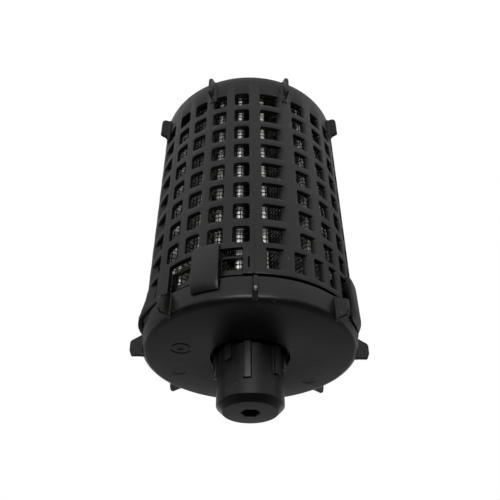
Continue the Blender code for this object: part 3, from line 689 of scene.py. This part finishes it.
def makeOutletPlate():
    o = outletPlate
    low, top = o["recess"], o["recess"] + o["thickness"]
    collar, bore, e = o["bore"] + o["collarWall"], o["bore"], o["edge"]
    grooveLow = top + o["clearance"]
    grooveHigh = grooveLow + o["sealHeight"] + 2 * o["clearance"]
    crown = top + o["collarHeight"]
    profile = [
        *arc((o["radius"] - e, top - e), e, 90, 0, 3), *arc((o["radius"] - e, low + e), e, 0, -90, 3),
        *arc((bore + e, low + e), e, 270, 180, 3), (bore, grooveLow), (bore + o["grooveDepth"], grooveLow),
        (bore + o["grooveDepth"], grooveHigh), (bore, grooveHigh), *arc((bore + e, crown - e), e, 180, 90, 3),
        *arc((collar - e, crown - e), e, 90, 0, 3), (collar, top + e), (collar + e, top),
    ]
    plate = turnedPiece("outlet_plate_disc", profile, o["steps"])
    finishPiece(plate, nylon, "glass_filled_nylon", "outlet_plate")


def makeShoulder():
    inner, low, high = outletPlate["shoulder"]
    outer, e = cage["radius"] - cage["wall"] / 2, outletPlate["edge"]
    profile = [(outer, high), *arc((inner + e, high - e), e, 90, 180, 3),
               *arc((inner + e, low + e), e, 180, 270, 3), (outer, low)]
    return turnedPiece("shoulder", profile, outletPlate["steps"])


# Upright plate that stands out along a radius; its foot widens where it meets the wall
def makeFin(name, outline, thickness, edge, wallRadius, angle, flare):
    fin = flatPlate(name, [outline], thickness, edge)
    cutStrips(fin, [wallRadius + flare * share for share in (0.15, 0.5, 1.0)], (1, 0, 0))

    def stand(point):
        share = max(0.0, min(1.0, 1 - (point.x - wallRadius) / flare))
        return Vector((point.x, point.z * (1 + 2 * flare / thickness * share ** 2), point.y))

    reshape(fin, stand)
    reshape(fin, lambda point: Matrix.Rotation(math.radians(angle), 3, "Z") @ point)
    tidyMesh(fin)
    return fin


farFins = {
    "count": 8,
    "angle": 22.5,
    "reach": 3.8 * mm,
    "thickness": 1.5 * mm,
    "edge": 0.35 * mm,
    "flare": 0.9 * mm,
    "sunk": 0.8 * mm,          # how deep the root stands in the wall
    "bottom": 0.3 * mm,
    "toe": 1.2 * mm,
    "lowCorner": 2.0 * mm,
    "highCorner": 1.0 * mm,
    "highCornerAt": 9.9 * mm,
    "hollow": 2.9 * mm,        # radius of the curve that leads back to the wall
    "hollowAt": (3.2 * mm, 13.6 * mm),
    "top": 13.9 * mm,
}


def makeFarFins():
    f, radius = farFins, cage["radius"]
    root, reach = radius - f["sunk"], radius + f["reach"]
    outwards, upwards = f["hollowAt"]
    outline = [
        (root, f["bottom"]), (radius + f["toe"], f["bottom"]),
        *arc((reach - f["lowCorner"], f["bottom"] + f["lowCorner"]), f["lowCorner"], -90, 0, 5),
        *arc((reach - f["highCorner"], f["highCornerAt"]), f["highCorner"], 0, 55, 3),
        *arc((radius + outwards, upwards), f["hollow"], 235, 180, 5), (root, f["top"]),
    ]
    step = 360 / f["count"]
    return [makeFin("far_fin", outline, f["thickness"], f["edge"], radius, f["angle"] + step * i, f["flare"])
            for i in range(f["count"])]


# Spring arms: rolled plates that stand proud of the wall and reach over the end cap
arms = {
    "span": 14.0,
    "offset": -2.7,
    "thickness": 1.6 * mm,
    "clearance": 0.2 * mm,
    "reach": 5.6 * mm,
    "sunk": 1.7 * mm,          # how deep the root stands in the wall
    "rootLift": 0.3 * mm,
    "web": 2.1 * mm,           # height over which the root thins out into the freed arm
    "lowBack": ((-0.5 * mm, 0.3 * mm), (-0.1 * mm, 1.0 * mm)),    # out from the back, up from the root
    "highBack": ((0.1 * mm, 6.6 * mm), (0.15 * mm, 4.6 * mm), (-0.1 * mm, 2.6 * mm)),    # down from the tip
    "nose": ((0.55 * mm, 0.2 * mm), (0.4 * mm, 0.0)),    # out from the inner side, down from the tip
    "hookDepth": 0.8 * mm,
    "hookHeight": 2.2 * mm,
    "hookSlope": 0.8,
    "edge": 0.25 * mm,
    "steps": 8,
    "pocketGap": 0.3 * mm,     # round the hook, in the end cap's band
    "pocketPlate": 2.0 * mm,   # the cutter: its thickness, and how far out from the band its middle stands
    "pocketShift": 0.2 * mm,
    "pocketEdge": 0.05 * mm,
}


def armEnds(slide):
    start = slide + arms["offset"] - arms["span"] / 2
    return start, start + arms["span"]


def makeArm(slide):
    a = arms
    start, end = armEnds(slide)
    width, middle = along(end - start), (start + end) / 2
    sunk, inner = cage["radius"] - a["sunk"], cage["radius"] + a["clearance"]
    outer = inner + a["thickness"]
    root, tip = cage["beltBottom"] - cage["beltLand"], cage["length"] + a["reach"]
    hook = cage["length"] + cage["capGap"] + a["hookHeight"] / 2
    section = [
        (sunk, root + a["rootLift"]), *((outer + x, root + y) for x, y in a["lowBack"]),
        *((outer + x, tip - y) for x, y in a["highBack"]), *((inner + x, tip - y) for x, y in a["nose"]),
        (inner, tip), (inner, hook + a["hookHeight"]),
        (inner - a["hookDepth"], hook + a["hookHeight"] * a["hookSlope"]), (inner - a["hookDepth"], hook),
        (inner, hook), (inner, cage["length"] - cage["mouthRim"]), (sunk, cage["beltBottom"] + a["web"]),
    ]
    plate = flatPlate("spring_arm", [section], width, a["edge"])
    cutStrips(plate, [width * (i / a["steps"] - 0.5) for i in range(1, a["steps"])], (0, 0, 1))
    reshape(plate, lambda point: polar(point.x, middle + math.degrees(point.z / cage["radius"]), point.y))
    tidyMesh(plate)
    return plate


def makeCage():
    pieces = [makeWall(), makeShoulder(), *makeFarFins(), *(makeArm(slide) for slide, half, notch in slides)]
    finishPiece(joinPieces("cage_shell", pieces), nylon, "glass_filled_nylon", "outer_cage")


makeCage()
makeOutletPlate()
print("cage is made")


# End cap: one moulding with its hub, ribs, fins, collar and window frames
cap = {
    "radius": 39.9 * mm,
    "band": 9.3 * mm,
    "fillet": 2.4 * mm,
    "wall": 2.4 * mm,
    "collarRadius": 37.5 * mm,
    "collarWall": 1.55 * mm,
    "neckRadius": 36.8 * mm,
    "overlap": 1.8 * mm,
    "hubRadius": 12.1 * mm,
    "hubHeight": 20.9 * mm,
    "hubChamfer": 2.3 * mm,
    "hubWall": 2.6 * mm,
    "grooveRadius": 14.8 * mm,
    "grooveDepth": 3.0 * mm,
    "ribWidth": 2.7 * mm,
    "ribReach": 1.05 * mm,
    "ribLean": 0.6 * mm,
    "ribSunk": 0.6 * mm,       # how deep the ribs stand in the hub
    "ribFoot": 0.3 * mm,       # and in the groove's floor
    "ribEdge": 0.2 * mm,
    "ribFlare": 0.25 * mm,
    "ribs": (                  # direction in degrees, height above the disc
        (-85.4, 13.4 * mm), (-53.2, 5.5 * mm), (-137.4, 10.5 * mm), (180.0, 4.6 * mm),
        (0.0, 7.8 * mm), (45.0, 5.5 * mm), (90.0, 13.4 * mm), (135.0, 5.5 * mm),
    ),
    "socket": 6.0 * mm,        # across flats
    "socketDepth": 8.5 * mm,
    "socketFlare": 0.3 * mm,
    "bossWall": 2.4 * mm,
    "pressRadius": 26.4 * mm,
    "pressWall": 2.4 * mm,
    "pressBottom": 109.2 * mm,
    "frameBottom": 95.8 * mm,
    "frameRail": 1.1 * mm,
    "frameShelf": 3.4 * mm,    # how far the windows of the frame stay below the mouth
    "frameLap": 0.4 * mm,      # how far it reaches into the collar
    "framePost": 2.4,          # in degrees
    "frameCorner": 0.3 * mm,
    "frameWindowCorner": 0.4 * mm,
    "frameEdge": 0.15 * mm,
    "finCount": 8,
    "finReach": 4.8 * mm,
    "finThickness": 1.5 * mm,
    "finEdge": 0.25 * mm,
    "finFlare": 0.3 * mm,
    "finAngle": 87.55,
    "finSlope": 0.33,          # share of the band over which the fin's lower side slopes
    "finCorner": 1.4 * mm,
    "finSunk": 0.8 * mm,       # how deep its root stands in the band
    "finInset": 3.0 * mm,      # how far its top reaches in under the disc's face
    "finDrop": 0.4 * mm,       # how far that top stays below the face
    "finTongue": 1.2 * mm,
    "finLift": 0.1 * mm,
    "finToe": 0.4 * mm,
    "finShoulder": (0.1 * mm, 0.9 * mm, 0.5 * mm),    # how far in it starts and ends, rounding
    "marks": (                 # direction, distance from the axis, inner and outer radius, depth
        (-18.2, 26.2 * mm, 3.1 * mm, 4.1 * mm, 0.25 * mm),
        (-18.2, 26.2 * mm, 0.0, 1.2 * mm, 0.25 * mm),
        (20.6, 29.4 * mm, 0.0, 2.8 * mm, 0.12 * mm),
        (140.4, 29.9 * mm, 0.0, 2.8 * mm, 0.12 * mm),
    ),
    "steps": 192,
    "markSteps": 48,
}
cap["bottom"] = cage["length"] + cage["capGap"]
cap["top"] = cap["bottom"] + cap["band"]
cap["crown"] = cap["top"] + cap["hubHeight"]


# A flat plate, drawn as length along the wall and height, is bent round the axis at the given radius
def rollPlate(plate, radius):
    low = min(vert.co.x for vert in plate.data.vertices)
    high = max(vert.co.x for vert in plate.data.vertices)
    steps = max(1, math.ceil((high - low) / along(cage["strip"])))
    cutStrips(plate, [low + (high - low) * i / steps for i in range(1, steps)], (1, 0, 0))
    reshape(plate, lambda point: polar(radius + point.z, math.degrees(point.x / cage["radius"]), point.y))
    tidyMesh(plate)
    return plate


def subtract(piece, cutters):
    cutter = joinPieces("cutter", cutters)
    modifier = piece.modifiers.new("cut", "BOOLEAN")
    modifier.object = cutter
    modifier.operation = "DIFFERENCE"
    modifier.solver = "EXACT"
    selectOnly(piece)
    bpy.ops.object.modifier_apply(modifier=modifier.name)
    bpy.data.objects.remove(cutter)


def makeCapBody():
    c = cap
    top, crown, bottom = c["top"], c["crown"], c["bottom"]
    under, floor, cavityFloor = top - c["wall"], top - c["grooveDepth"], top - c["grooveDepth"] - c["wall"]
    socketFloor = crown - c["socketDepth"] - c["wall"]
    collarBottom = cage["length"] - c["overlap"]
    collarInner, pressInner = c["collarRadius"] - c["collarWall"], c["pressRadius"] - c["pressWall"]
    hub, cavity = c["hubRadius"], c["hubRadius"] - c["hubWall"]
    boss = c["socket"] / math.sqrt(3) + c["bossWall"]
    small, fine = 0.5 * mm, 0.25 * mm
    corners = [                # distance from the axis, height, rounding
        (0, crown, 0), (hub - c["hubChamfer"], crown, 0.4 * mm), (hub, crown - c["hubChamfer"], 0.7 * mm),
        (hub, floor, small), (c["grooveRadius"], floor, small), (c["grooveRadius"], top, 0.35 * mm),
        (c["radius"], top, c["fillet"]), (c["radius"], bottom, 0.3 * mm), (c["neckRadius"], bottom, 0),
        (c["neckRadius"], collarBottom, fine), (collarInner, collarBottom, fine), (collarInner, under, small),
        (c["pressRadius"], under, small), (c["pressRadius"], c["pressBottom"], fine),
        (pressInner, c["pressBottom"], fine), (pressInner, under, small),
        (c["grooveRadius"] + c["wall"], under, small), (c["grooveRadius"] + c["wall"], cavityFloor, fine),
        (cavity, cavityFloor, fine), (cavity, crown - c["hubWall"], small),
        (boss, crown - c["hubWall"], small), (boss, socketFloor, small), (0, socketFloor, 0),
    ]
    return turnedPiece("end_cap_shell", roundCorners(corners, 5), c["steps"])


def makeSocket():
    corner, flare = cap["socket"] / math.sqrt(3), cap["socketFlare"]
    floor, crown = cap["crown"] - cap["socketDepth"], cap["crown"]
    return turnedPiece("socket", [(0, floor), (corner, floor), (corner, crown - flare),
                                  (corner + 2 * flare, crown + flare), (0, crown + flare)], 6)


def makeMark(angle, distance, inner, outer, depth):
    low, high = cap["top"] - depth, cap["top"] + depth
    outline = [(inner, high), (inner, low), (outer - depth, low), (outer + depth, high)]
    mark = turnedPiece("mark", outline, cap["markSteps"])
    reshape(mark, lambda point: point + polar(distance, angle))
    return mark


def makePocket(slide):
    gap = arms["pocketGap"]
    start, end = (along(angle) for angle in armEnds(slide))
    low = cap["bottom"] + arms["hookHeight"] / 2 - gap
    high = low + arms["hookHeight"] + 2 * gap
    outline = [(start - gap, low), (end + gap, low), (end + gap, high), (start - gap, high)]
    plate = flatPlate("pocket", [outline], arms["pocketPlate"], arms["pocketEdge"])
    return rollPlate(plate, cap["radius"] + arms["pocketShift"])


def makeFrames():
    c, frames = cap, []
    low, shelf = c["frameBottom"], cage["length"] - c["frameShelf"]
    top = cage["length"] - c["overlap"] + c["frameLap"]
    post = c["framePost"]
    middle = c["collarRadius"] - c["collarWall"] / 2
    for slide, half, notch in slides:
        armStart, armEnd = armEnds(slide)
        start, end = slide - notch - post, slide + notch + post
        outlines = [roundedBox(along(start), low, along(end), top, c["frameCorner"])]
        for left, right in ((start + post, armStart), (armStart + post, armEnd - post), (armEnd, end - post)):
            if right - left > post:
                outlines.append(roundedBox(along(left), low + c["frameRail"], along(right), shelf,
                                           c["frameWindowCorner"]))
        frames.append(rollPlate(flatPlate("frame", outlines, c["collarWall"], c["frameEdge"]), middle))
    return frames


def makeCapFins():
    c = cap
    radius, bottom, top = c["radius"], c["bottom"], c["top"]
    root, inset, reach = radius - c["finSunk"], radius - c["finInset"], radius + c["finReach"]
    foot, crest = bottom + c["finLift"], top - c["finDrop"]
    shoulderStart, shoulderEnd, rounding = c["finShoulder"]
    outline = roundCorners([
        (root, foot, 0), (radius + c["finToe"], foot, 0),
        (reach, bottom + c["band"] * c["finSlope"], c["finCorner"]),
        (reach - shoulderStart, top - c["fillet"], c["finCorner"]), (reach - shoulderEnd, crest, rounding),
        (inset, crest, 0), (inset, top - c["finTongue"], 0), (root, top - c["wall"], 0),
    ], 4)
    angles = [c["finAngle"] + 360 / c["finCount"] * i for i in range(c["finCount"])]
    return [makeFin("cap_fin", outline, c["finThickness"], c["finEdge"], radius, angle, c["finFlare"])
            for angle in angles]


def makeRibs():
    c, ribs = cap, []
    hub, edge = c["hubRadius"], c["ribEdge"]
    foot = c["top"] - c["grooveDepth"] - c["ribFoot"]
    inner, outer = hub - c["ribSunk"], hub + c["ribReach"]
    for angle, height in c["ribs"]:
        crest = c["top"] + height
        outline = roundCorners([
            (inner, foot, 0), (outer + c["ribLean"], foot, 0), (outer, crest, edge), (inner, crest, 0)], 3)
        ribs.append(makeFin("rib", outline, c["ribWidth"], edge, hub, angle, c["ribFlare"]))
    return ribs


def makeCap():
    body = makeCapBody()
    subtract(body, [makeSocket(), *(makeMark(*mark) for mark in cap["marks"]),
                    *(makePocket(slide) for slide, half, notch in slides)])
    tidyMesh(body)
    pieces = [body, *makeFrames(), *makeRibs()]
    finishPiece(joinPieces("end_cap_shell", pieces), nylon, "glass_filled_nylon", "end_cap")
    finishPiece(joinPieces("end_cap_fins", makeCapFins()), smoothNylon, "glass_filled_nylon", "end_cap")


makeCap()
print("end cap is made")


# Pleated pack: every layer follows one path of crests and valleys, at its own offset
pleats = {
    "count": 24,
    "phase": -84.0,
    "shifts": {1: -1.8, 2: -2.8, 3: -3.2, 4: -2.2, 5: -1.0, 9: 0.6, 12: -0.7, 14: 0.8, 17: -0.6, 19: 0.5},
    "outerRadius": 35.575 * mm,
    "innerRadius": 21.5 * mm,
    "margin": 0.7 * mm,
    "crestFlat": 1.0 * mm,     # the crests are pressed flat, with a corner on both sides
    "crest": 0.65 * mm,
    "valley": 1.15 * mm,
    "bottom": 8.95 * mm,
    "top": 103.1 * mm,
    "clothThickness": 0.25 * mm,
    "clothSteps": (6, 8),      # steps round the corners of a crest and round a valley
    "meshOffset": 0.55 * mm,
    "meshSteps": (4, 8),
    "wireSteps": (4, 4),
    "wirePitch": 1.87 * mm,
    "wiresAcross": 14,         # upright wires to each pleat
    "skew": 0.7 * mm,          # the upright wires lean by this much over the height
    "wireRadius": 0.19 * mm,
    "crimp": 0.12 * mm,
    "clipPleat": 12,           # the seam clip sits on this crest, counted from the first
    "clipGap": 0.3 * mm,
    "clipSheet": 0.6 * mm,
    "clipDepth": 4.0 * mm,
}


# Direction of a crest: the folds stand a little unevenly
def crestAxis(number):
    p = pleats
    return p["phase"] + 360 * number / p["count"] + p["shifts"].get(number % p["count"], 0)


# Direction, from the crest's middle, in which its corner turns into the flank that leads to a valley
def flankFacing(half):
    p = pleats
    corner = Vector((p["outerRadius"] - p["margin"] - p["crest"], p["crestFlat"] / 2, 0))
    away = polar(p["innerRadius"] + p["margin"] + p["valley"], half) - corner
    return math.degrees(math.atan2(away.y, away.x) - math.acos((p["crest"] + p["valley"]) / away.length))


def pleatPath(offset, cornerSteps, valleySteps):
    p = pleats
    crestCentre = p["outerRadius"] - p["margin"] - p["crest"]
    valleyCentre = p["innerRadius"] + p["margin"] + p["valley"]
    points = []
    for pleat in range(p["count"]):
        axis = crestAxis(pleat)
        before = (axis - crestAxis(pleat - 1)) / 2
        after = (crestAxis(pleat + 1) - axis) / 2
        for side, start, end in ((-1, -flankFacing(before), 0), (1, 0, flankFacing(after))):
            corner = polar(crestCentre, axis) + polar(side * p["crestFlat"] / 2, axis + 90)
            for step in range(cornerSteps + 1):
                turn = axis + start + (end - start) * step / cornerSteps
                points.append(corner + polar(p["crest"] + offset, turn))
        middle = axis + after
        sweep = flankFacing(after) - after
        for step in range(valleySteps + 1):
            turn = middle + 180 - sweep * (2 * step / valleySteps - 1)
            points.append(polar(valleyCentre, middle) + polar(p["valley"] - offset, turn))
    return points


# Upright sheet that follows an outline, given its thickness with Solidify
def makeSheet(name, path, thickness, closed):
    count = len(path)
    last = count if closed else count - 1
    verts = [(point.x, point.y, height) for height in (pleats["bottom"], pleats["top"]) for point in path]
    faces = [(i, (i + 1) % count, count + (i + 1) % count, count + i) for i in range(last)]
    mesh = bpy.data.meshes.new(name)
    mesh.from_pydata(verts, [], faces)
    sheet = addObject(name, mesh)
    solidify = sheet.modifiers.new("sheet", "SOLIDIFY")
    solidify.thickness = thickness
    solidify.offset = 0
    solidify.use_even_offset = True
    selectOnly(sheet)
    bpy.ops.object.modifier_apply(modifier=solidify.name)
    tidyMesh(sheet)
    return sheet


def makePleatedSheets():
    p = pleats
    sheet = makeSheet("pleated_cloth", pleatPath(0, *p["clothSteps"]), p["clothThickness"], True)
    finishPiece(sheet, cloth, "fine_medium", "filter_medium")
    sheet = makeSheet("inner_mesh", pleatPath(-p["meshOffset"], *p["meshSteps"]), p["clothThickness"], True)
    finishPiece(sheet, wire, "steel_wire_mesh", "inner_support_mesh")


# Folded strip over one crest, where the ends of the pack meet
def makeSeamClip():
    p = pleats
    centre = p["outerRadius"] - p["margin"] - p["crest"]
    radius = p["crest"] + p["margin"] + p["clipGap"] + p["clipSheet"] / 2
    half = Vector((0, p["crestFlat"] / 2, 0))
    bend = [polar(radius, turn) - half for turn in range(-90, 1, 15)]
    bend += [polar(radius, turn) + half for turn in range(0, 91, 15)]
    leg = Vector((-p["clipDepth"] / 2, 0, 0))
    turn = Matrix.Rotation(math.radians(crestAxis(p["clipPleat"])), 3, "Z")
    path = [turn @ (point + Vector((centre, 0, 0))) for point in (bend[0] + leg, *bend, bend[-1] + leg)]
    clip = makeSheet("seam_strip", path, p["clipSheet"], False)
    finishPiece(clip, platedSteel, "plated_steel", "seam_clip")


# Wires as round bars along many paths, all in one piece
def makeWires(name, paths, closed):
    curve = bpy.data.curves.new(name, "CURVE")
    curve.dimensions = "3D"
    curve.bevel_depth = pleats["wireRadius"]
    curve.bevel_resolution = 0
    for path in paths:
        addPath(curve, path, closed)
    wires = curveToMesh(name, curve)
    bpy.ops.object.shade_smooth()
    return wires


# Place at a length along a closed path, with the direction outwards
def placeAlong(path, lengths, wanted):
    wanted %= lengths[-1]
    segment = bisect.bisect_right(lengths, wanted) - 1
    a, b = path[segment], path[(segment + 1) % len(path)]
    way = (b - a).normalized()
    return a + way * (wanted - lengths[segment]), Vector((way.y, -way.x, 0))


# Where the upright wires start, as lengths along the path: evenly between one crest's middle and the next
def wireStarts(lengths, pointsPerPleat, cornerSteps):
    p = pleats
    crests = [lengths[pleat * pointsPerPleat + cornerSteps] + p["crestFlat"] / 2
              for pleat in range(p["count"])]
    crests.append(crests[0] + lengths[-1])
    starts = []
    for before, after in zip(crests, crests[1:]):
        for number in range(p["wiresAcross"]):
            share = (number + 0.5) / p["wiresAcross"]
            starts.append(before * (1 - share) + after * share)
    return starts


def makeCoarseMesh():
    p = pleats
    path = pleatPath(p["meshOffset"], *p["wireSteps"])
    rows = int((p["top"] - p["bottom"]) / p["wirePitch"])
    first = (p["bottom"] + p["top"] - (rows - 1) * p["wirePitch"]) / 2
    heights = [first + p["wirePitch"] * row for row in range(rows)]
    rings = [[point + Vector((0, 0, height)) for point in path] for height in heights]
    wefts = makeWires("mesh_wefts", rings, True)
    finishPiece(wefts, wire, "steel_wire_mesh", "outer_support_mesh")
    lengths = [0.0]
    for a, b in zip(path, path[1:] + path[:1]):
        lengths.append(lengths[-1] + (b - a).length)
    upright = []
    for number, start in enumerate(wireStarts(lengths, len(path) // p["count"], p["wireSteps"][0])):
        line = []
        for row, height in enumerate([p["bottom"], *heights, p["top"]]):
            lean = p["skew"] * (height - p["bottom"]) / (p["top"] - p["bottom"])
            place, outwards = placeAlong(path, lengths, start + lean)
            side = (1 if (row + number) % 2 else -1) if 0 < row <= rows else 0
            line.append(place + outwards * side * p["crimp"] + Vector((0, 0, height)))
        upright.append(line)
    warps = makeWires("mesh_warps", upright, False)
    finishPiece(warps, wire, "steel_wire_mesh", "outer_support_mesh")


# Channel ring under the pack and the potting in it
lowerRing = {
    "outer": 35.58 * mm,
    "inner": 19.3 * mm,
    "bondInner": 21.5 * mm,
    "bottom": 7.3 * mm,
    "sheet": 0.8 * mm,
    "lip": 1.5 * mm,
    "gap": 0.2 * mm,
    "steps": 96,
}


def makeLowerRing():
    r = lowerRing
    top, floor = r["bottom"] + r["lip"], r["bottom"] + r["sheet"]
    innerSide, outerSide = r["inner"] + r["sheet"], r["outer"] - r["sheet"]
    ring = turnedPiece("lower_channel_ring", [
        (r["outer"], top), (r["outer"], r["bottom"]), (r["inner"], r["bottom"]), (r["inner"], top),
        (innerSide, top), (innerSide, floor), (outerSide, floor), (outerSide, top)], r["steps"])
    finishPiece(ring, platedSteel, "plated_steel", "lower_end_disc")
    outer, low = outerSide - r["gap"], floor + r["gap"]
    bond = turnedPiece("lower_potting", [
        (outer, low), (r["bondInner"], low), (r["bondInner"], top), (outer, top)], r["steps"])
    finishPiece(bond, potting, "adhesive", "lower_bond_ring")


makeLowerRing()
makePleatedSheets()
makeSeamClip()
makeCoarseMesh()
print("pleats are made")


# Pieces that keep their solids
finishes = {
    "core_tube": platedSteel,
    "upper_end_disc": platedSteel,
    "upper_bond_ring": potting,
    "lower_gasket": rubber,
    "upper_gasket": rubber,
    "outlet_seal": rubber,
}
for node, material in finishes.items():
    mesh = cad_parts[node].data
    mesh.materials.clear()
    mesh.materials.append(material)

print("all pieces are dressed")
